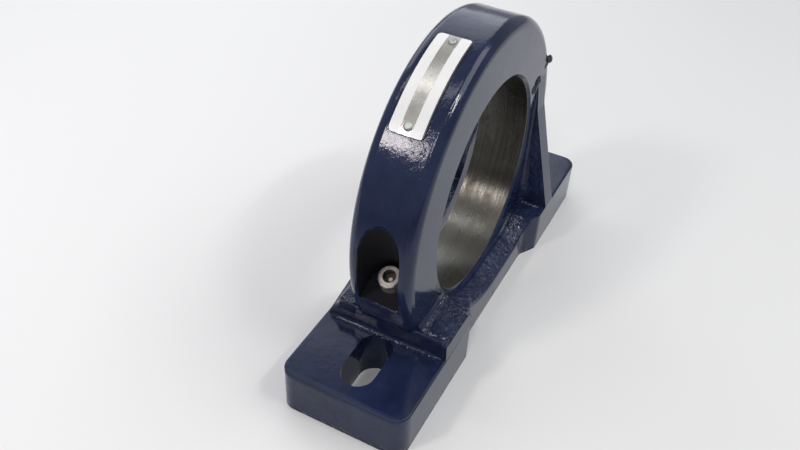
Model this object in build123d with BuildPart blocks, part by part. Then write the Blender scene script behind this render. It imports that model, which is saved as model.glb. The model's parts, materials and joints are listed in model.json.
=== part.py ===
# Split plummer block, solid-cast foot-mounted housing with an inclined joint.
# Frame: Z = 0 is the underside, X runs along the feet, Y is the bore axis,
# the low end of the joint is at -X. Millimetres.
import os
from math import cos, radians, sin, sqrt

from build123d import *

# ---- foot ----
base_l = 330.0            # overall length of the base
base_w = 93.0             # width over the feet
foot_t = 34.5             # thickness of the feet
foot_corner_r = 11.0      # plan radius of the foot corners
foot_edge_r = 1.6         # cast rounding of the feet's top edges
slot_w = 24.0             # mounting slot width
slot_wall = 12.0          # from the slot's outer end to the end of the foot
slot_gap = 1.5            # from the slot's inner end to the body's end face

# ---- ring ----
bore_h = 105.0            # bore centre height
bore_r = 78.25            # bearing seat radius
ring_r = 119.0            # outer radius of the ring
ring_w = 46.0             # ring width along Y
rim_r = 7.5               # rounding of the ring's outer rims
lip_front = 2.0           # chamfer at the front mouth of the bore
lip_back_y = 6.0          # back mouth chamfer, along the axis
lip_back_r = 7.5          # back mouth chamfer, radial
split_deg = 25.5          # tilt of the joint, rising towards +X

# ---- waist, ramp and platform of the base ----
waist_in = 8.0            # how far the narrow middle stands in from the feet's sides
waist_near = -46.0        # where the narrow middle ends, low side
blend_near = 18.0         # length of the slanted change of width there
waist_far = 60.0          # where the narrow middle ends, high side
blend_far = 14.0
waist_blend_r = 8.0       # plan rounding of the changes of width
waist_edge_r = 3.0        # rounding along the dip's edges
riser_x = 103.5           # end face of the body above the feet
plat_z = 50.0             # top of the platform under the low joint
# how far the platform's end stands in from the feet's sides: at the foot, at the knee
# where its sides turn in, and on top; the front (-Y) side is the fuller one
back_foot_in, back_knee_in, back_top_in = 2.0, 4.5, 9.5
front_foot_in, front_knee_in, front_top_in = 0.3, 0.7, 4.0
back_knee_z = 42.0
front_knee_z = 47.0
plat_lean = 0.5           # inset of both knees where the waist begins
plat_round = 1.0          # bulge of the rounding above the knee
plat_edge_r = 1.8         # rounding of the platform's end edge
plat_root_r = 7.0         # hollow between the platform and the ring's faces
plat_root_end = 10.0      # length over which it runs out along the ramp
foot_root_r = 3.0         # hollow where the end faces meet the feet
foot_root_end = 6.0       # length over which it runs out at its ends
ramp_x = -60.0            # inner end of the platform top, at the ring's faces
ramp_skew = 14.0          # the ramp starts this much sooner outside the side walls
crown_x = -20.0           # the platform's section is carried this far under the ramp
dip_near = 1.0            # where the ramp has come down to the dip
dip_far = 44.0            # where the dip starts to rise again
land_x = 66.0             # where it has risen to the high side's foot
dip_drop = 7.5            # fall of the dip from the ring's face to the waist's side
dip_clear = 0.25          # the dip lies this far below the bore
dip_beyond = 4.0          # the dip is carried past the side walls, which trim it

# ---- cheeks beside the high joint ----
cheek_x = 87.0            # inner face of the cheeks
cheek_knee_z = 120.0      # where the cheeks turn steep
cheek_knee_out = 3.2      # how far they stand out from the ring's faces there
cheek_top_z = 146.0       # where the cheeks run out on the ring's faces
cheek_edge_r = 2.0        # rounding of the cheeks' outer edges
cheek_root_r = 8.0        # hollow between the cheeks and the ring's faces, at the foot
cheek_root_top = 138.0    # where it has run out
root_end_r = 0.6          # what is left of a hollow at its end
root_bed = 4.0            # depth to which the hollows' solids reach into what they join

# ---- joint hardware ----
pocket_out = 4.4          # screw pocket axis outside the screw's, along the joint
pocket_r = 14.8           # screw pocket radius
seat_h = 19.0             # screw seat above the joint
screw_d = 10.0
screw_clear_d = 11.0
head_d = 16.0
head_h = 10.0
head_edge = 0.8
hex_flats = 8.0
hex_depth = 5.5
screw_grip = 25.0         # length of thread in the base
hole_extra = 5.0          # tapped hole beyond the screw's end
dowel_d = 6.0
dowel_l = 16.0
dowel_in = 7.5            # dowel axis from the ring's face
dowel_edge = 0.5

# ---- nameplate ----
plate_t = 0.8
plate_bed = 0.1           # adhesive film under the plate
plate_w = 23.5
plate_high = 100.0        # upper end, degrees round the ring
plate_low = 136.0         # lower end, degrees round the ring
plate_y = 2.0             # middle of the plate along Y
plate_corner_r = 3.0
rivet_in = 2.7            # rivets from the plate's ends, degrees round the ring
rivet_d = 3.0
rivet_head_d = 6.0
rivet_head_h = 1.8
rivet_rim = 0.1           # straight rim under the head's rounding
rivet_l = 6.0

os.makedirs("parts", exist_ok=True)

half_l, half_w = base_l / 2, base_w / 2
ring_y, waist_y = ring_w / 2, half_w - waist_in
outer_y = half_w + dip_beyond
dip_z = bore_h - bore_r - dip_clear
slot_l = half_l - slot_wall - riser_x - slot_gap
slot_x = half_l - slot_wall - slot_l / 2
screw_u = (bore_r + ring_r) / 2
pocket_u = screw_u + pocket_out
dowel_y = ring_y - dowel_in
root_y = half_w - back_foot_in - foot_edge_r
cheek_knee_y = ring_y + cheek_knee_out
tilt = radians(split_deg)
joint = Plane(
    origin=(0, 0, bore_h),
    x_dir=(cos(tilt), 0, sin(tilt)),
    z_dir=(-sin(tilt), 0, cos(tilt)),
)
# outward planes on the ring at the two rivets
rivet_spots = [
    Plane(
        origin=(ring_r * cos(radians(a)), plate_y, bore_h + ring_r * sin(radians(a))),
        x_dir=(0, 1, 0),
        z_dir=(cos(radians(a)), 0, sin(radians(a))),
    )
    for a in (plate_high + rivet_in, plate_low - rivet_in)
]


def rise_mid(x_low, x_high, low, high):
    """Middle of the arc that leaves the level low at x_low and ends at x_high, high."""
    rise, run = high - low, abs(x_high - x_low)
    r = (run * run + rise * rise) / (2 * rise)
    x = (x_low + x_high) / 2
    return (x, low + r - sqrt(r * r - (x - x_low) ** 2))


def dip_face(y, level_y):
    """Sketch of the base's side outline on the plane Y = y."""
    out = (level_y - ring_y) / (waist_y - ring_y)
    low = dip_z - dip_drop * out
    start = ramp_x - ramp_skew * (level_y - ring_y) / (outer_y - ring_y)
    with BuildSketch(Plane(origin=(0, y, 0), x_dir=(1, 0, 0), z_dir=(0, -1, 0))) as face:
        with BuildLine():
            Polyline((land_x, foot_t), (cheek_x, foot_t), (cheek_x, 0), (-riser_x, 0),
                     (-riser_x, plat_z), (start, plat_z))
            ThreePointArc((start, plat_z), rise_mid(dip_near, start, low, plat_z),
                          (dip_near, low))
            Line((dip_near, low), (dip_far, low))
            ThreePointArc((dip_far, low), rise_mid(dip_far, land_x, low, foot_t),
                          (land_x, foot_t))
        make_face()
    return face.sketch


def mirrored(points):
    """Closed plan outline from its points on the +Y side."""
    return points + [(x, -y) for x, y in reversed(points)] + points[:1]


def root_face(plane, r):
    """Sketch of a hollow of radius r in the corner at the plane's origin, open to +x, +y."""
    with BuildSketch(plane) as face:
        with BuildLine():
            Polyline((0, r), (-root_bed, r), (-root_bed, -root_bed), (r, -root_bed), (r, 0))
            RadiusArc((r, 0), (0, r), r)
        make_face()
    return face.sketch.face()


def add_root(spots):
    """Solid hollow through the given planes and radii, added to the part in hand."""
    faces = [root_face(plane, r) for plane, r in spots]
    for pair in zip(faces, faces[1:]):
        loft(pair, ruled=True)


def platform_face(x, back, front):
    """Section of the platform across the feet at x, from the insets of its two sides."""
    (b_foot, b_knee, b_top), (f_foot, f_knee, f_top) = [
        [half_w - inset for inset in side] for side in (back, front)]
    with BuildSketch(Plane.YZ.offset(x)) as face:
        with BuildLine():
            Polyline((-f_knee, front_knee_z), (-f_foot, foot_t), (-f_foot, 0),
                     (b_foot, 0), (b_foot, foot_t), (b_knee, back_knee_z))
            SagittaArc((b_knee, back_knee_z), (b_top, plat_z), plat_round)
            Line((b_top, plat_z), (-f_top, plat_z))
            SagittaArc((-f_top, plat_z), (-f_knee, front_knee_z), plat_round)
        make_face()
    return face.sketch.face()


# everything under the top surface of platform, ramp and dip
with BuildPart() as under:
    for side in (-1, 1):
        loft([dip_face(side * ring_y, ring_y).face(), dip_face(side * outer_y, outer_y).face()],
             ruled=True)
    loft([dip_face(-ring_y, ring_y).face(), dip_face(ring_y, ring_y).face()], ruled=True)

# full ring, plain all the way round
with BuildPart() as ring:
    with BuildSketch(Plane(origin=(0, 0, bore_h), x_dir=(1, 0, 0), z_dir=(0, 0, 1))) as wall:
        with BuildLine():
            Polyline(
                (bore_r + lip_front, -ring_y), (ring_r, -ring_y), (ring_r, ring_y),
                (bore_r + lip_back_r, ring_y), (bore_r, ring_y - lip_back_y),
                (bore_r, -ring_y + lip_front), (bore_r + lip_front, -ring_y),
            )
        make_face()
        rims = [v for v in wall.vertices() if v.X > screw_u]
        fillet(rims, rim_r)
    revolve(axis=Axis((0, 0, bore_h), (0, 1, 0)), revolution_arc=360)

# ring below the joint with the cheeks beside its high end
with BuildPart() as shoulder:
    add(ring.part)
    with BuildSketch(Plane.YZ.offset(cheek_x)):
        with BuildLine():
            knee = [(half_w, 0), (half_w, foot_t), (cheek_knee_y, cheek_knee_z),
                    (ring_y, cheek_top_z)]
            Polyline([(y, z) for y, z in knee] + [(-y, z) for y, z in reversed(knee)]
                     + [knee[0]])
        make_face()
    extrude(amount=riser_x - cheek_x)
    # hollows beside the ring, along the platform and up the cheeks
    for side in (-1, 1):
        add_root([(Plane(origin=(x, side * ring_y, plat_z), x_dir=(0, side, 0),
                         z_dir=(side, 0, 0)), r)
                  for x, r in ((plat_edge_r - riser_x, plat_root_r),
                               (ramp_x - plat_root_end, plat_root_r), (ramp_x, root_end_r))])
        add_root([(Plane(origin=(cheek_x, side * ring_y, z), x_dir=(-1, 0, 0),
                         z_dir=(0, 0, -side)), r)
                  for z, r in ((foot_t - root_bed, cheek_root_r), (cheek_root_top, root_end_r))])
    split(bisect_by=joint, keep=Keep.BOTTOM)
    split(bisect_by=Plane.XY, keep=Keep.TOP)

# foot pads, rounded along the top
with BuildPart() as feet:
    with BuildSketch(Plane.XY) as pads:
        with BuildLine():
            Polyline(mirrored([(-half_l, half_w), (waist_near - blend_near, half_w),
                               (waist_near, waist_y)]))
        make_face()
        with BuildLine():
            Polyline(mirrored([(half_l, half_w), (cheek_x, half_w)]))
        make_face()
        fillet([v for v in pads.vertices() if abs(v.X) > riser_x], foot_corner_r)
    extrude(amount=foot_t)
    tops = feet.faces().filter_by(Axis.Z).sort_by(Axis.Z)[-2:]
    fillet([e for e in tops.edges() if abs((e @ 0.5).X) > cheek_x or (e @ 0.5).X < waist_near],
           foot_edge_r)

# low end of the body, with rounded shoulders
with BuildPart() as crown:
    mid_x = waist_near - blend_near
    back, front = (0, plat_lean, back_top_in), (0, plat_lean, front_top_in)
    loft([platform_face(-riser_x, (back_foot_in, back_knee_in, back_top_in),
                        (front_foot_in, front_knee_in, front_top_in)),
          platform_face(mid_x, back, front)], ruled=True)
    loft([platform_face(x, back, front) for x in (mid_x, crown_x)], ruled=True)
    with BuildSketch(Plane.XY):
        with BuildLine():
            Polyline(mirrored([(-riser_x, half_w), (mid_x, half_w), (waist_near, waist_y),
                               (crown_x, waist_y)]))
        make_face()
    extrude(amount=plat_z, mode=Mode.INTERSECT)
    end = crown.faces().sort_by(Axis.X)[0]
    fillet([e for e in end.edges() if (e @ 0.5).Z > back_knee_z], plat_edge_r)

with BuildPart() as base:
    # body between the feet, trimmed by the dip's surface
    with BuildSketch(Plane.XY) as plan:
        with BuildLine():
            Polyline(mirrored([(crown_x, waist_y), (waist_far, waist_y),
                               (waist_far + blend_far, half_w), (cheek_x, half_w)]))
        make_face()
        fillet([v for v in plan.vertices() if 0 < v.X < (land_x + cheek_x) / 2],
               waist_blend_r)
    extrude(amount=plat_z)
    add(crown.part)
    add(under.part, mode=Mode.INTERSECT)
    add(feet.part)
    add(shoulder.part)
    # hollows where the end faces meet the feet
    for side in (-1, 1):
        add_root([(Plane(origin=(side * riser_x, y, foot_t), x_dir=(side, 0, 0),
                         z_dir=(0, -side, 0)), r)
                  for y, r in ((-root_y, root_end_r), (foot_root_end - root_y, foot_root_r),
                               (root_y - foot_root_end, foot_root_r), (root_y, root_end_r))])
    # rounded edges of the cheeks' ends and of the dip
    fillet([e for e in base.edges().filter_by(GeomType.LINE)
            if abs((e @ 0.5).X - riser_x) < root_end_r and abs((e @ 0.5).Y) > ring_y
            and (e @ 0.5).Z > plat_z], cheek_edge_r)
    fillet([e for e in base.edges()
            if abs(abs((e @ 0.5).Y) - waist_y) < root_end_r and 0 < (e @ 0.5).Z < foot_t
            and abs((e @ 0).X - (e @ 1).X) > root_end_r], waist_edge_r)
    # mounting slots
    with BuildSketch(Plane.XY):
        with Locations((-slot_x, 0), (slot_x, 0)):
            SlotOverall(slot_l, slot_w)
    extrude(amount=foot_t, mode=Mode.SUBTRACT)
    # tapped holes and dowel holes down from the joint
    with BuildSketch(joint):
        with Locations((-screw_u, 0), (screw_u, 0)):
            Circle(screw_d / 2)
    extrude(amount=-(screw_grip + hole_extra), mode=Mode.SUBTRACT)
    with BuildSketch(joint):
        with Locations((-screw_u, dowel_y), (screw_u, -dowel_y)):
            Circle(dowel_d / 2)
    extrude(amount=-dowel_l / 2, mode=Mode.SUBTRACT)
base.part.label = "base"
export_step(base.part, "parts/base.step")

with BuildPart() as cap:
    add(ring.part)
    split(bisect_by=joint, keep=Keep.TOP)
    # open pockets down to the screw seats
    with BuildSketch(joint.offset(seat_h)):
        with Locations((-pocket_u, 0), (pocket_u, 0)):
            Circle(pocket_r)
        for side in (-1, 1):
            with Locations((side * (pocket_u + ring_r) / 2, 0)):
                Rectangle(ring_r - pocket_u, 2 * pocket_r)
    extrude(amount=ring_r, mode=Mode.SUBTRACT)
    with BuildSketch(joint):
        with Locations((-screw_u, 0), (screw_u, 0)):
            Circle(screw_clear_d / 2)
    extrude(amount=seat_h, mode=Mode.SUBTRACT)
    with BuildSketch(joint):
        with Locations((-screw_u, dowel_y), (screw_u, -dowel_y)):
            Circle(dowel_d / 2)
    extrude(amount=dowel_l / 2, mode=Mode.SUBTRACT)
    # drive rivet holes under the nameplate
    for spot in rivet_spots:
        with BuildSketch(spot.offset(-rivet_l)):
            Circle(rivet_d / 2)
        extrude(amount=rivet_l, mode=Mode.SUBTRACT)
cap.part.label = "cap"
export_step(cap.part, "parts/cap.step")

# socket-head cap screws, seated in the pockets
for name, side in (("screw_low", -1), ("screw_high", 1)):
    with BuildPart() as screw:
        with BuildSketch(joint.offset(seat_h)):
            with Locations((side * screw_u, 0)):
                Circle(head_d / 2)
        extrude(amount=head_h)
        top = screw.faces().sort_by(Axis((0, 0, 0), joint.z_dir))[-1]
        chamfer(top.edges(), head_edge)
        with BuildSketch(joint.offset(seat_h)):
            with Locations((side * screw_u, 0)):
                Circle(screw_d / 2)
        extrude(amount=-(seat_h + screw_grip))
        with BuildSketch(joint.offset(seat_h + head_h)):
            with Locations((side * screw_u, 0)):
                RegularPolygon(hex_flats / 2, 6, major_radius=False)
        extrude(amount=-hex_depth, mode=Mode.SUBTRACT)
    screw.part.label = name
    export_step(screw.part, f"parts/{name}.step")

# locating dowels across the joint
for name, u, y in (("dowel_low", -screw_u, dowel_y), ("dowel_high", screw_u, -dowel_y)):
    with BuildPart() as dowel:
        with BuildSketch(joint.offset(-dowel_l / 2)):
            with Locations((u, y)):
                Circle(dowel_d / 2)
        extrude(amount=dowel_l)
        ends = dowel.edges().filter_by(GeomType.CIRCLE)
        chamfer(ends, dowel_edge)
    dowel.part.label = name
    export_step(dowel.part, f"parts/{name}.step")

# nameplate rolled onto the cap, held by two drive rivets
with BuildPart() as nameplate:
    with BuildSketch(Plane(origin=(0, plate_y, bore_h), x_dir=(1, 0, 0), z_dir=(0, 1, 0))):
        with BuildLine():
            a0, a1 = radians(plate_high), radians(plate_low)
            r0, r1 = ring_r + plate_bed, ring_r + plate_bed + plate_t
            rim = [[(r * cos(a), -r * sin(a)) for a in (a0, (a0 + a1) / 2, a1)]
                   for r in (r0, r1)]
            ThreePointArc(*rim[0])
            Line(rim[0][2], rim[1][2])
            ThreePointArc(*rim[1])
            Line(rim[1][0], rim[0][0])
        make_face()
    extrude(amount=plate_w / 2, both=True)
    fillet(nameplate.edges().filter_by(lambda e: e.length < 2 * plate_t), plate_corner_r)
    for spot in rivet_spots:
        with BuildSketch(spot):
            Circle(rivet_d / 2)
        extrude(amount=plate_t * 2, both=True, mode=Mode.SUBTRACT)
nameplate.part.label = "nameplate"
export_step(nameplate.part, "parts/nameplate.step")

for name, spot in zip(("rivet_high", "rivet_low"), rivet_spots):
    with BuildPart() as rivet:
        with BuildSketch(spot.offset(-rivet_l)):
            Circle(rivet_d / 2)
        extrude(amount=rivet_l + plate_bed + plate_t)
        with BuildSketch(spot.offset(plate_bed + plate_t)):
            Circle(rivet_head_d / 2)
        extrude(amount=rivet_head_h)
        top = rivet.faces().sort_by(Axis((0, 0, 0), spot.z_dir))[-1]
        fillet(top.edges(), rivet_head_h - rivet_rim)
    rivet.part.label = name
    export_step(rivet.part, f"parts/{name}.step")
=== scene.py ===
# Split plummer block: finishes, joint compound, paint beads, stage, lamps and camera around the
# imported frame. Lengths are in metres, colours are linear.
import json
import math
import random

import bmesh
import bpy
from mathutils import Matrix, Vector, noise
from mathutils.bvhtree import BVHTree


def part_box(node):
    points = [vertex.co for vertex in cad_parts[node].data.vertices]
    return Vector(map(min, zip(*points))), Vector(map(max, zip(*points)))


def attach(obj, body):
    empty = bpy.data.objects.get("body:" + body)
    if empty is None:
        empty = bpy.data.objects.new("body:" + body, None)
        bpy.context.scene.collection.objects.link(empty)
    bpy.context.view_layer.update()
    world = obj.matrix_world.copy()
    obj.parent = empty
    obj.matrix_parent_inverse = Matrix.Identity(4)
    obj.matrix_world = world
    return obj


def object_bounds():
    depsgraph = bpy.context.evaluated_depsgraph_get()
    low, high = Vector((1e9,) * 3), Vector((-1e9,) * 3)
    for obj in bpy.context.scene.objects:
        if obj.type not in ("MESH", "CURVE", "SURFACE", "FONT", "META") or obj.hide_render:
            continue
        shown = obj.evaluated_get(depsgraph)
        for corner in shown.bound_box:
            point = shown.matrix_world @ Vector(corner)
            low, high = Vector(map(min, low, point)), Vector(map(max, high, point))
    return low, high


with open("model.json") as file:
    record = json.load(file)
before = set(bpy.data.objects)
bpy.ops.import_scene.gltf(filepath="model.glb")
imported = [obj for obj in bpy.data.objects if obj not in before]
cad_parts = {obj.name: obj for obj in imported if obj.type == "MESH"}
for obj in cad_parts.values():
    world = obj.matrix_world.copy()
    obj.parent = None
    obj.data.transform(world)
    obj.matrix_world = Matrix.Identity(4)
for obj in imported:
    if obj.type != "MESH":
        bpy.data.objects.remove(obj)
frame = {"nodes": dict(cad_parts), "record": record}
cad_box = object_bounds()
nodes = frame["nodes"]
scene = bpy.context.scene

# ---------------------------------------------------------------- places taken from the frame
mounts = {m["name"]: m for m in frame["record"]["mounts"]}
bore = mounts["bearing_bore"]
BORE_Y, BORE_Z = bore["pos_m"][1:]
BORE_R = bore["dims"]["r_mm"] / 1000
BORE_HALF = bore["dims"]["length_mm"] / 2000
FOOT_Z = mounts["mounting_slots"]["pos_m"][2]
FOOT_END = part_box("base")[0].x
cap_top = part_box("cap")[1]
RING_R = cap_top.z - BORE_Z
RING_Y = cap_top.y
screw_low = sum(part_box("screw_low"), Vector()) / 2
screw_high = sum(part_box("screw_high"), Vector()) / 2
SCREW_U = (screw_high - screw_low).length / 2
TILT = math.atan2(screw_high.z - screw_low.z, screw_high.x - screw_low.x)
CENTRE = Vector((0, 0, BORE_Z))
FRONT = Vector((0, -1, 0))
# the joint plane holds the bore's axis and ALONG, and NORMAL points into the cap
ALONG = Vector((math.cos(TILT), 0, math.sin(TILT)))
NORMAL = Vector((-math.sin(TILT), 0, math.cos(TILT)))


def rgb(r, g, b):
    return (r, g, b, 1.0)


# ---------------------------------------------------------------- colours
ENAMEL_DEEP = rgb(0.0088, 0.0138, 0.040)
ENAMEL_THIN = rgb(0.0145, 0.0218, 0.058)
ENAMEL_CHALK = rgb(0.024, 0.034, 0.08)
ENAMEL_SCUFF = rgb(0.13, 0.15, 0.21)
BEAD_DEEP = rgb(0.008, 0.013, 0.036)
BEAD_THIN = rgb(0.018, 0.027, 0.065)
BEAD_GLINT = rgb(0.62, 0.65, 0.70)
SEAM_DARK = rgb(0.003, 0.003, 0.005)
POCKET_SHADE = rgb(0.0015, 0.0015, 0.003)
IRON_DARK = rgb(0.082, 0.079, 0.068)
IRON_LIGHT = rgb(0.122, 0.117, 0.102)
IRON_OIL = rgb(0.060, 0.046, 0.031)
IRON_GROOVE = rgb(0.045, 0.043, 0.040)
IRON_PAINTED_SHADE = rgb(0.020, 0.019, 0.016)
IRON_PAINTED_LIGHT = rgb(0.170, 0.164, 0.148)
RUST_SPECK = rgb(0.10, 0.055, 0.03)
SOCKET_SHADE = rgb(0.030, 0.024, 0.018)
SCREW_STEEL = (rgb(0.74, 0.69, 0.62), rgb(0.97, 0.92, 0.85))
DOWEL_STEEL = (rgb(0.45, 0.45, 0.45), rgb(0.60, 0.60, 0.60))
RIVET_STEEL = (rgb(0.36, 0.38, 0.36), rgb(0.50, 0.52, 0.49))
PLATE_METAL = (rgb(0.40, 0.385, 0.35), rgb(0.52, 0.505, 0.465))
PLATE_SCRATCH = rgb(0.22, 0.22, 0.20)
PLATE_WHITE = rgb(0.75, 0.745, 0.735)
PLATE_GRIME = rgb(0.50, 0.49, 0.46)
PLATE_EDGE_SHADE = rgb(0.03, 0.03, 0.035)
COMPOUND = rgb(0.014, 0.017, 0.030)
COMPOUND_DUST = rgb(0.06, 0.066, 0.09)
BOARD_SHADED_SIDE = rgb(0.735, 0.732, 0.725)
BOARD_LIT_SIDE = rgb(0.93, 0.925, 0.92)
BOARD_CLOUD = rgb(0.80, 0.797, 0.79)
BOARD_LIT = rgb(0.85, 0.85, 0.85)
BOARD_MIRRORED_FAR = rgb(0.30, 0.30, 0.31)
HAZE = rgb(0.90, 0.90, 0.91)
SKY = rgb(0.92, 0.95, 1.0)


# ---------------------------------------------------------------- node helpers
class Tree:
    """A node tree of a material or a world, built by short calls."""

    def __init__(self, owner, output="OutputMaterial"):
        owner.use_nodes = True
        self.owner = owner
        self.nodes, self.links = owner.node_tree.nodes, owner.node_tree.links
        self.nodes.clear()
        self.out = self.nodes.new("ShaderNode" + output)
        self.place = None

    @property
    def point(self):
        """The object's own coordinates, which are the frame's."""
        if self.place is None:
            self.place = self.add("TexCoord").outputs["Object"]
        return self.place

    def add(self, kind, ins=None, **settings):
        n = self.nodes.new("ShaderNode" + kind)
        for k, v in settings.items():
            setattr(n, k, v)
        for k, v in (ins or {}).items():
            self.put(n.inputs[k], v)
        return n

    def put(self, socket, v):
        if isinstance(v, bpy.types.NodeSocket):
            self.links.new(v, socket)
        else:
            socket.default_value = v

    def end(self, node):
        """Use this shader, and give back the material or world."""
        self.links.new(node.outputs[0], self.out.inputs[0])
        return self.owner

    def math(self, op, a, b=0.0, c=0.0, clamp=False):
        return self.add("Math", {0: a, 1: b, 2: c}, operation=op, use_clamp=clamp).outputs[0]

    def plus(self, a, b):
        return self.math("ADD", a, b)

    def times(self, a, b):
        return self.math("MULTIPLY", a, b)

    def maximum(self, a, b):
        return self.math("MAXIMUM", a, b)

    def absolute(self, v):
        return self.math("ABSOLUTE", v)

    def invert(self, v):
        return self.math("SUBTRACT", 1.0, v)

    def length(self, a, b):
        return self.math("SQRT", self.plus(self.times(a, a), self.times(b, b)))

    def step(self, v, low, high):
        """0 below low, 1 above high, smooth between."""
        n = self.add("MapRange", {"Value": v, "From Min": low, "From Max": high},
                     interpolation_type="SMOOTHSTEP")
        return n.outputs[0]

    def fall(self, v, low, high):
        """1 below low, 0 above high, smooth between."""
        return self.invert(self.step(v, low, high))

    def split(self, vector):
        return self.add("SeparateXYZ", {0: vector}).outputs

    def facing(self):
        """X, Y and Z of the surface's own normal."""
        return self.split(self.add("NewGeometry").outputs["Normal"])

    def noise(self, scale, detail, rough=0.5, at=None, warp=0.0):
        n = self.add("TexNoise", {"Vector": at or self.point, "Scale": scale, "Detail": detail,
                                  "Roughness": rough, "Distortion": warp})
        return n.outputs["Fac"]

    def wobble(self, spread, scale, detail, rough=0.5):
        """Noise about zero, from end to end as wide as spread."""
        return self.times(self.math("SUBTRACT", self.noise(scale, detail, rough), 0.5), spread)

    def stretched(self, sx, sy, sz):
        return self.add("Mapping", {"Vector": self.point, "Scale": (sx, sy, sz)}).outputs[0]

    def blend(self, fac, a, b):
        n = self.add("Mix", data_type="RGBA")
        for i, v in ((0, fac), (6, a), (7, b)):
            self.put(n.inputs[i], v)
        return n.outputs[2]

    def wash(self, mask, share, under, over):
        """Colour over, laid on colour under by a share of the mask."""
        return self.blend(self.times(mask, share), under, over)

    def mix(self, fac, a, b):
        n = self.add("Mix", data_type="FLOAT")
        for i, v in ((0, fac), (2, a), (3, b)):
            self.put(n.inputs[i], v)
        return n.outputs[0]

    def mix_normals(self, fac, a, b):
        n = self.add("Mix", data_type="VECTOR")
        for i, v in ((0, fac), (4, a), (5, b)):
            self.put(n.inputs[i], v)
        return n.outputs[1]

    def bump(self, height, distance, strength, on=None):
        ins = {"Height": height, "Distance": distance, "Strength": strength}
        if on:
            ins["Normal"] = on
        return self.add("Bump", ins).outputs[0]

    def shader(self, **ins):
        return self.end(self.add("BsdfPrincipled", {k.replace("_", " "): v for k, v in ins.items()}))


def material(name):
    return Tree(bpy.data.materials.new(name))


# ---------------------------------------------------------------- the two castings
def bare_mask(t, r, y):
    """Bare iron in the bore, up to an uneven edge of paint at its mouth."""
    ragged = t.wobble(0.0022, 420, 4, 0.65)
    round_bore = t.fall(t.plus(r, ragged), BORE_R + 0.0008, BORE_R + 0.0013)
    off = t.absolute(t.math("SUBTRACT", y, BORE_Y))
    in_length = t.fall(t.plus(off, ragged), BORE_HALF + 0.0002, BORE_HALF + 0.0008)
    return t.math("MULTIPLY", round_bore, in_length, clamp=True)


def seam_mask(t, r, lift):
    """The joint as a fine dark line on the ring, bridged with paint here and there."""
    wander = t.wobble(0.0006, 160, 2)
    line = t.fall(t.absolute(t.plus(lift, wander)), 0.00015, 0.00055)
    open_here = t.step(t.noise(95, 2, 0.6), 0.34, 0.46)
    on_ring = t.fall(r, RING_R + 0.0003, RING_R + 0.0006)
    return t.times(t.times(line, open_here), on_ring)


def pocket_mask(t, r, y_size):
    """Hollows inside the ring, such as the screw pockets."""
    between = t.times(t.step(r, BORE_R + 0.003, BORE_R + 0.005),
                      t.fall(r, RING_R - 0.0022, RING_R - 0.0008))
    return t.times(between, t.fall(y_size, RING_Y - 0.006, RING_Y - 0.004))


def enamel_colour(t, fine, seam, pocket):
    """Navy enamel with thin and thick places and chalky scuffs, dark in the seam, with painted shade
    in the pockets.
    """
    tone = t.blend(t.step(t.noise(38, 4, 0.55), 0.3, 0.7), ENAMEL_DEEP, ENAMEL_THIN)
    tone = t.wash(t.step(fine, 0.6, 0.8), 0.3, tone, ENAMEL_CHALK)
    streaks = t.step(t.noise(1, 3, 0.7, at=t.stretched(60, 60, 900)), 0.66, 0.74)
    scuffs = t.times(streaks, t.step(t.noise(22, 2), 0.5, 0.62))
    tone = t.wash(scuffs, 0.2, tone, ENAMEL_SCUFF)
    tone = t.blend(seam, tone, SEAM_DARK)
    # painted shade in the pockets
    return t.wash(pocket, 0.92, tone, POCKET_SHADE)


def turning(t, y, angle, across, around, start, detail, rough):
    """Noise drawn out round the bore: across and around are its scales, start sets it apart."""
    at = t.add("CombineXYZ", {0: t.times(y, across), 1: t.times(angle, around), 2: start})
    return t.noise(1, detail, rough, at=at.outputs[0])


def iron_colour(t, angle, marks, bands, smear):
    """Turned iron with brown smears of old oil. Painted shade lies low on the +X side and fades
    upwards, and from below it round to the -X side painted light makes the iron paler."""
    iron = t.blend(t.step(bands, 0.35, 0.65), IRON_DARK, IRON_LIGHT)
    iron = t.wash(t.step(smear, 0.45, 0.7), 0.65, iron, IRON_OIL)
    iron = t.wash(t.step(marks, 0.5, 0.62), 0.35, iron, IRON_GROOVE)
    # painted shade low on the +X side of the bore, fading upwards
    shading_angle = t.plus(angle, t.times(smear, 0.16))
    shade_fade = t.math("MULTIPLY_ADD", t.step(shading_angle, -0.50, -0.30), -0.85, 1.0)
    painted_shade = t.times(t.step(shading_angle, -0.66, -0.54), shade_fade)
    iron = t.wash(painted_shade, 0.65, iron, IRON_PAINTED_SHADE)
    # painted light: the iron is paler from below the painted shade round to the -X side
    return t.wash(t.fall(shading_angle, -0.95, -0.75), 0.6, iron, IRON_PAINTED_LIGHT)


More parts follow.
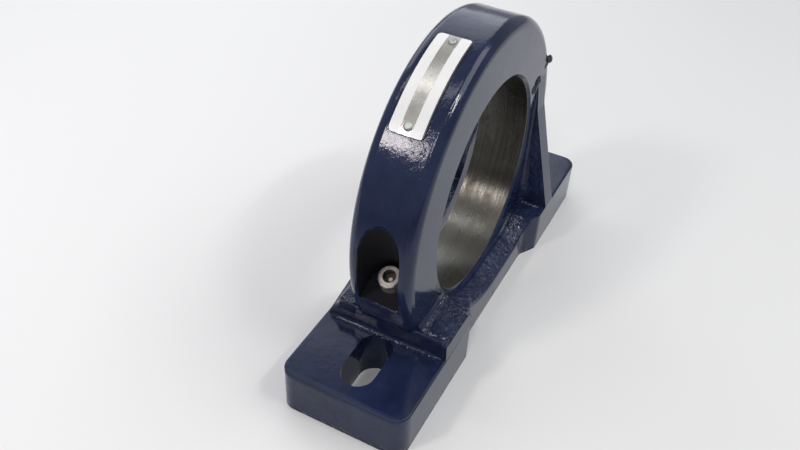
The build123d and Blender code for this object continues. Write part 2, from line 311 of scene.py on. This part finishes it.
def cast_skin(t, r, y_size, z, seam):
    """Normal of the painted skin: casting lumps, sand, pits, orange peel and pooled paint."""
    outward = t.facing()
    sideways = t.absolute(outward[1])
    low_top = t.times(t.fall(z, FOOT_Z + 0.0004, FOOT_Z + 0.0012), t.step(outward[2], 0.6, 0.9))
    beyond = t.maximum(t.step(r, RING_R + 0.0003, RING_R + 0.0008),
                       t.step(y_size, RING_Y + 0.0003, RING_Y + 0.0008))
    ring_edge = t.times(t.step(y_size, RING_Y - 0.006, RING_Y - 0.004),
                        t.step(r, RING_R - 0.008, RING_R - 0.006))
    ring_edge = t.times(ring_edge, t.invert(beyond))

    # smoother, as if machined before painting: the faces along the sides, those that look up no
    # higher than the feet's tops, and the ring's outer edges
    machined = t.maximum(t.step(sideways, 0.9, 0.98), t.maximum(low_top, ring_edge))
    cast = t.math("MULTIPLY_ADD", machined, -0.75, 1.0)

    # the surfaces beside the ring are the roughest, save those that face along the bore
    flank = t.times(t.step(y_size, RING_Y + 0.0005, RING_Y + 0.003),
                    t.fall(r, RING_R - 0.006, RING_R + 0.004))
    flank = t.times(flank, t.fall(sideways, 0.5, 0.8))
    coarse = t.maximum(t.times(cast, t.step(t.noise(17, 3, 0.5), 0.42, 0.66)), t.times(flank, 0.9))

    # paint pools where walls stand close
    close = t.add("AmbientOcclusion", {"Distance": 0.009}, samples=8).outputs["AO"]
    pooled = t.fall(close, 0.62, 0.86)

    lumps = t.noise(55, 2, 0.5)
    sand = t.noise(210, 5, 0.62)
    sandy = t.times(t.math("MULTIPLY_ADD", coarse, 0.8, 0.12),
                    t.math("MULTIPLY_ADD", ring_edge, -0.85, 1.0))
    cells = t.add("TexVoronoi", {"Vector": t.point, "Scale": 150.0}).outputs["Distance"]
    pits = t.step(cells, 0.03, 0.16)
    peel = t.noise(640, 2, 0.5)
    runs = t.noise(190, 3, 0.55)
    n = t.bump(t.times(lumps, cast), 0.0005, 0.5)
    n = t.bump(t.times(sand, sandy), 0.0006, 0.5, on=n)
    n = t.bump(t.times(pits, coarse), 0.00025, 0.35, on=n)
    n = t.bump(t.times(peel, cast), 0.00018, 0.35, on=n)
    n = t.bump(t.times(runs, t.maximum(pooled, flank)), 0.0034, 0.6, on=n)
    return t.bump(t.invert(seam), 0.0006, 0.8, on=n)


def casting():
    """Gloss navy enamel over a lumpy sand casting, with the bore turned to bare iron."""
    t = material("casting")
    x, y, z = t.split(t.point)
    above = t.math("SUBTRACT", z, BORE_Z)
    r = t.length(x, above)
    lift = t.plus(t.times(x, NORMAL.x), t.times(above, NORMAL.z))
    angle = t.math("ARCTAN2", above, x)
    y_size = t.absolute(y)

    bare = bare_mask(t, r, y)
    seam = seam_mask(t, r, lift)
    pocket = pocket_mask(t, r, y_size)
    fine = t.noise(300, 5, 0.6)
    marks = turning(t, y, angle, 3200, 2.2, 0.0, 2, 0.5)
    bands = turning(t, y, angle, 700, 1.2, 4.0, 3, 0.6)
    smear = t.noise(38, 5, 0.62, at=t.stretched(1, 2.0, 1), warp=0.8)
    cut = t.bump(bands, 0.0002, 0.3, on=t.bump(marks, 0.00006, 0.7))

    # dull in the pockets, and rubbed along the top edge of the low foot's end
    rubbed = t.times(t.fall(x, FOOT_END + 0.002, FOOT_END + 0.005),
                     t.step(z, FOOT_Z - 0.005, FOOT_Z - 0.003))
    gloss = t.mix(pocket, t.mix(t.step(fine, 0.45, 0.8), 0.10, 0.18), 0.75)
    gloss = t.mix(rubbed, gloss, 0.5)
    return t.shader(
        Base_Color=t.blend(bare, enamel_colour(t, fine, seam, pocket),
                           iron_colour(t, angle, marks, bands, smear)),
        Metallic=t.mix(bare, 0.0, 0.92),
        Roughness=t.mix(bare, gloss, t.mix(t.step(smear, 0.4, 0.7), 0.27, 0.40)),
        IOR=1.36,
        Normal=t.mix_normals(bare, cast_skin(t, r, y_size, z, seam), cut),
    )


# ---------------------------------------------------------------- the other finishes
def steel(name, tones, rough_low, rough_high, socket=None):
    """Turned steel with an oil film and rust specks. A socket, given by its radius, is darkened with
    painted shade.
    """
    t = material(name)
    film = t.noise(130, 4, 0.6)
    tone = t.blend(t.step(film, 0.35, 0.7), *tones)
    tone = t.wash(t.step(t.noise(900, 3, 0.7), 0.66, 0.74), 0.55, tone, RUST_SPECK)
    if socket:
        x, y, z = t.split(t.point)
        u = t.plus(t.times(x, ALONG.x), t.times(t.math("SUBTRACT", z, BORE_Z), ALONG.z))
        wide = t.length(t.math("SUBTRACT", t.absolute(u), SCREW_U), y)
        # painted shade out to the socket's wall, with a bright spot in the middle
        socket_shade = t.math("SUBTRACT", t.step(wide, 0.0008, 0.0018),
                      t.step(wide, socket, socket + 0.0005))
        tone = t.wash(socket_shade, 0.93, tone, SOCKET_SHADE)
    return t.shader(
        Base_Color=tone,
        Metallic=1.0,
        Roughness=t.mix(t.step(film, 0.3, 0.75), rough_low, rough_high),
        Normal=t.bump(t.noise(1, 3, 0.6, at=t.stretched(1400, 260, 900)), 0.00004, 0.5),
    )


def label_plate():
    """White enamel with a bare stripe along the plate, scratches, grime, and painted shade along its
    side and lower edges.
    """
    t = material("label_plate")
    low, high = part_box("nameplate")
    middle, half = (low.y + high.y) / 2, (high.y - low.y) / 2
    y, z = t.split(t.point)[1:3]
    edge = t.wobble(0.0002, 800, 2)
    off = t.absolute(t.plus(t.math("SUBTRACT", y, middle + 0.05 * half), edge))
    stripe = t.fall(off, 0.35 * half, 0.37 * half)
    # painted shade along the plate's side edges and lower edge
    edge_shade = t.maximum(t.step(off, 0.955 * half, 0.975 * half),
                    t.fall(z, low.z + 0.0003, low.z + 0.0008))
    hair = t.noise(1, 3, 0.65, at=t.stretched(90, 2600, 90))
    cloud = t.noise(70, 4, 0.6)
    grime = t.step(t.noise(210, 4, 0.65), 0.55, 0.8)
    metal = t.blend(t.step(cloud, 0.3, 0.7), *PLATE_METAL)
    metal = t.wash(t.step(hair, 0.5, 0.7), 0.35, metal, PLATE_SCRATCH)
    white = t.wash(grime, 0.22, PLATE_WHITE, PLATE_GRIME)
    n = t.bump(hair, 0.00003, 0.5)
    n = t.bump(t.invert(stripe), 0.00006, 0.7, on=n)
    n = t.bump(cloud, 0.0003, 0.25, on=n)
    return t.shader(
        Base_Color=t.blend(edge_shade, t.blend(stripe, white, metal), PLATE_EDGE_SHADE),
        Metallic=t.times(stripe, 0.6),
        Roughness=t.mix(stripe, 0.3, t.mix(t.step(cloud, 0.35, 0.7), 0.22, 0.30)),
        Normal=n,
    )


def sealant():
    """Black joint compound, soft skinned and dusty."""
    t = material("sealant")
    dust = t.noise(700, 4, 0.7)
    return t.shader(
        Base_Color=t.blend(t.step(dust, 0.5, 0.8), COMPOUND, COMPOUND_DUST),
        Roughness=t.mix(t.step(dust, 0.3, 0.7), 0.22, 0.4),
        Normal=t.bump(t.noise(520, 3, 0.6), 0.0004, 0.6),
    )


def bead_paint():
    """The castings' enamel where it set in thick glossy beads, with pale specks painted on top as
    glints.
    """
    t = material("bead_paint")
    # painted highlight: pale glints on the beads' upward faces
    glints = t.times(t.step(t.noise(1300, 2, 0.6), 0.56, 0.64), t.step(t.facing()[2], 0.3, 0.6))
    tone = t.blend(t.noise(260, 3, 0.6), BEAD_DEEP, BEAD_THIN)
    return t.shader(
        Base_Color=t.wash(glints, 0.8, tone, BEAD_GLINT),
        Roughness=t.mix(t.noise(500, 2, 0.5), 0.06, 0.14),
        Normal=t.bump(t.noise(900, 3, 0.6), 0.0003, 0.5),
    )


def dress(names, mat):
    for name in names:
        me = nodes[name].data
        me.materials.clear()
        me.materials.append(mat)


SOCKET_R = 0.0044  # radius of the dark socket in a cap screw's head
dress(("base", "cap"), casting())
dress(("screw_low", "screw_high"), steel("cap_screw", SCREW_STEEL, 0.36, 0.5, SOCKET_R))
dress(("dowel_low", "dowel_high"), steel("dowel_pin", DOWEL_STEEL, 0.15, 0.25))
dress(("rivet_low", "rivet_high"), steel("drive_rivet", RIVET_STEEL, 0.45, 0.6))
dress(("nameplate",), label_plate())


# ---------------------------------------------------------------- pieces of this script's own
def lump(bm, centre, along, across, out, size, seed, fineness):
    """One soft lump with puckered skin. size holds its half-widths along, across and out."""
    for v in bmesh.ops.create_icosphere(bm, subdivisions=fineness, radius=1.0)["verts"]:
        d = v.co.normalized()
        swell = 1 + 0.28 * noise.noise(d * 1.3 + Vector((seed, 0, 0)))
        swell += 0.08 * noise.noise(d * 4.1 + Vector((0, seed, 0)))
        v.co = centre + swell * (along * d.x * size[0] + across * d.y * size[1] + out * d.z * size[2])


def piece(name, bm, mat):
    me = bpy.data.meshes.new(name)
    bm.to_mesh(me)
    bm.free()
    for p in me.polygons:
        p.use_smooth = True
    me.materials.append(mat)
    ob = bpy.data.objects.new(name, me)
    scene.collection.objects.link(ob)
    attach(ob, "root")


# ---------------------------------------------------------------- compound squeezed out of the joint
# on the ring's front face, on the high side: place along the joint, height above it, half-widths
# along, across and out of it, seed
RIM = RING_R - 0.0022
COMPOUND_LUMPS = (
    (RIM, 0.0006, (0.0032, 0.0034, 0.0026), 1.7),
    (RIM - 0.0052, 0.0, (0.0034, 0.0014, 0.0008), 3.1),
    (BORE_R + 0.0160, 0.0004, (0.0052, 0.0030, 0.0018), 5.4),
    (BORE_R + 0.0095, -0.0004, (0.0046, 0.0026, 0.0016), 7.9),
)
bm = bmesh.new()
for u, lift, size, seed in COMPOUND_LUMPS:
    at = CENTRE + FRONT * RING_Y + ALONG * u + NORMAL * lift
    lump(bm, at, ALONG, NORMAL, FRONT, size, seed, fineness=4)
piece("joint_compound_high", bm, sealant())


# ---------------------------------------------------------------- paint that ran into the corners
def skin(names):
    """Search tree over the outer surface of some nodes."""
    points, faces = [], []
    for name in names:
        me = nodes[name].data
        faces += [[len(points) + i for i in p.vertices] for p in me.polygons]
        points += [v.co.copy() for v in me.vertices]
    return BVHTree.FromPolygons(points, faces)


body = skin(("base", "cap"))
draw = random.Random(21)
REACH = 0.03  # each bead looks for the surface from this far off
SUNK = 0.25  # share of its size that a bead sits below the surface
FLAT = 0.62  # height of a bead against its width


def beads(bm, start, end, away, count, spread, largest):
    """Beads in a corner from start to end, each set on the surface found by looking against away."""
    start, end, away = Vector(start), Vector(end), Vector(away).normalized()
    along = (end - start).normalized()
    aside = along.cross(away).normalized()
    for i in range(count):
        share = (i + draw.uniform(0.1, 0.9)) / count
        p = start.lerp(end, share) + aside * draw.uniform(-spread, spread)
        spot, normal, _, _ = body.ray_cast(p + away * REACH, -away)
        size = largest * draw.uniform(0.4, 1.0)
        across = normal.cross(along).normalized()
        lump(bm, spot - normal * SUNK * size, across.cross(normal), across, normal,
             (size * draw.uniform(0.9, 1.7), size, size * FLAT), draw.uniform(0, 50), fineness=3)


# as in the CAD source: top of the platform, its end face, and the inner face of the cheeks
PLATFORM_Z = 0.050
PLATFORM_X = -0.1035
CHEEK_X = 0.087
# the corners' roundings, in which the beads lie
ROOT_Y = RING_Y + 0.0022
ROOT_X = CHEEK_X - 0.0022
STEP_X = PLATFORM_X - 0.0018
bm = bmesh.new()
for side in (-1, 1):
    y = side * ROOT_Y
    # root of the ring on the platform
    beads(bm, (PLATFORM_X + 0.004, y, PLATFORM_Z), (-0.062, y, PLATFORM_Z), (0, side, 0.9),
          12, 0.0010, 0.0014)
    # root of the cheek's inner face
    beads(bm, (ROOT_X, y, FOOT_Z), (ROOT_X, side * 0.041, FOOT_Z), (-0.7, 0, 1),
          14, 0.0012, 0.0012)
    # rise at the high end of the dip
    beads(bm, (0.064, side * 0.029, 0.030), (0.052, side * 0.036, 0.022), (0, side * 0.4, 1),
          12, 0.0030, 0.0015)
    # top of the platform's end
    beads(bm, (PLATFORM_X + 0.003, side * 0.028, PLATFORM_Z),
          (PLATFORM_X + 0.006, side * 0.044, PLATFORM_Z), (-0.4, 0, 1), 7, 0.0016, 0.0013)
# step from the low foot up to the platform: close together, then sparse towards the front
beads(bm, (STEP_X, -0.012, FOOT_Z), (STEP_X, 0.020, FOOT_Z), (-1, 0, 1.2), 16, 0.0006, 0.0010)
beads(bm, (STEP_X, -0.041, FOOT_Z), (STEP_X, -0.016, FOOT_Z), (-1, 0, 1.2), 5, 0.0006, 0.0007)
# lip of the low screw's pocket, on the ring
LIP = Vector((-0.1132, 0, 0.0725))
beads(bm, LIP + Vector((0, 0.006, 0)), LIP - Vector((0, 0.012, 0)), (-0.5, 0, 1), 12, 0.0004, 0.0009)
piece("paint_beads", bm, bead_paint())


# ---------------------------------------------------------------- stage
FLOOR_HALF = 4.0


def pale_board():
    """Plain pale board that keeps the shadow and turns into pale haze far from the block. As seen, it
    has light painted on it, brighter towards +Y. In reflections it is darker far out on the low
    foot's side."""
    t = material("pale_board")
    x, y = t.split(t.point)[0:2]
    # painted light: as seen, the board is darker towards -Y and lighter towards +Y
    seen = t.blend(t.step(y, -0.2, 0.6), BOARD_SHADED_SIDE, BOARD_LIT_SIDE)
    seen = t.wash(t.noise(3.0, 3, 0.5), 0.2, seen, BOARD_CLOUD)
    mirrored = t.blend(t.step(x, -0.50, -0.28), BOARD_MIRRORED_FAR, BOARD_LIT)
    path = t.add("LightPath").outputs
    direct = t.maximum(path["Is Camera Ray"], path["Is Transmission Ray"])
    tone = t.blend(path["Is Glossy Ray"], t.blend(direct, BOARD_LIT, seen), mirrored)
    far = t.times(direct, t.step(t.length(x, y), 0.8, 2.2))
    board = t.add("BsdfDiffuse", {"Color": tone}).outputs[0]
    haze = t.add("Emission", {"Color": HAZE, "Strength": 1.0}).outputs[0]
    return t.end(t.add("MixShader", {0: far, 1: board, 2: haze}))


WORLD_LIGHT = 0.3
WORLD_GLOSS = 0.12  # added to it in reflections
WORLD_SEEN = 0.92


def studio():
    """World that is near white where it is seen, and dimmer as light and in reflections."""
    t = Tree(bpy.data.worlds.new("studio"), "OutputWorld")
    path = t.add("LightPath").outputs
    seen = t.maximum(path["Is Camera Ray"], path["Is Transmission Ray"])
    unseen = t.math("MULTIPLY_ADD", path["Is Glossy Ray"], WORLD_GLOSS, WORLD_LIGHT)
    strength = t.mix(seen, unseen, WORLD_SEEN)
    return t.end(t.add("Background", {"Color": SKY, "Strength": strength}))


def softbox(name, towards, distance, size, watts, colour=(1, 1, 1)):
    """Rectangular lamp that faces the bore's centre from a direction and a distance."""
    data = bpy.data.lights.new(name, "AREA")
    data.shape = "RECTANGLE"
    data.size, data.size_y = size
    data.energy = watts
    data.color = colour
    ob = bpy.data.objects.new(name, data)
    way = Vector(towards).normalized()
    ob.location = CENTRE + way * distance
    ob.rotation_euler = way.to_track_quat("Z", "Y").to_euler()
    scene.collection.objects.link(ob)


bm = bmesh.new()
bmesh.ops.create_grid(bm, x_segments=8, y_segments=8, size=FLOOR_HALF)
me = bpy.data.meshes.new("floor")
bm.to_mesh(me)
bm.free()
me.materials.append(pale_board())
floor = bpy.data.objects.new("floor", me)
floor.location.z = cad_box[0][2]
scene.collection.objects.link(floor)
scene.world = studio()

# name, direction from the bore's centre, distance, size, watts, colour
softbox("window", (-0.65, 0.36, 0.675), 1.6, (0.20, 0.26), 5.4, (1.0, 0.93, 0.945))
softbox("window_near", (-0.62, -0.12, 0.78), 1.7, (0.26, 0.34), 5.2)
softbox("strip_back", (-0.065, 0.35, 0.94), 1.7, (0.15, 1.2), 3.3)
softbox("strip_front", (-0.10, -0.56, 0.82), 1.6, (0.36, 0.08), 4.0)
softbox("fill_front", (0.30, -0.50, 0.81), 1.9, (1.3, 0.8), 11.5)
softbox("screen", (0.66, 0.56, 0.50), 2.0, (1.9, 1.4), 12, (0.92, 0.96, 1.0))

# ---------------------------------------------------------------- camera, at the photograph's angle
YAW, PITCH, ROLL = 0.448, 0.697, 0.057
EYE = Vector((-0.461153, -0.178440, 0.468332))
FOCAL_PX = 853.806
FRAME_PX = 800  # width of the frame
SENSOR_MM = 36.0
look = Vector((math.cos(PITCH) * math.cos(YAW), math.cos(PITCH) * math.sin(YAW), -math.sin(PITCH)))
level = look.cross(Vector((0, 0, 1))).normalized()
upright = level.cross(look)
right = level * math.cos(ROLL) + upright * math.sin(ROLL)
up = upright * math.cos(ROLL) - level * math.sin(ROLL)
cam_data = bpy.data.cameras.new("camera")
cam_data.sensor_width = SENSOR_MM
cam_data.lens = FOCAL_PX * SENSOR_MM / FRAME_PX
cam = bpy.data.objects.new("camera", cam_data)
rows = [(right[i], up[i], -look[i], EYE[i]) for i in range(3)]
cam.matrix_world = Matrix((*rows, (0, 0, 0, 1)))
scene.collection.objects.link(cam)
scene.camera = cam
scene.view_settings.view_transform = "Standard"
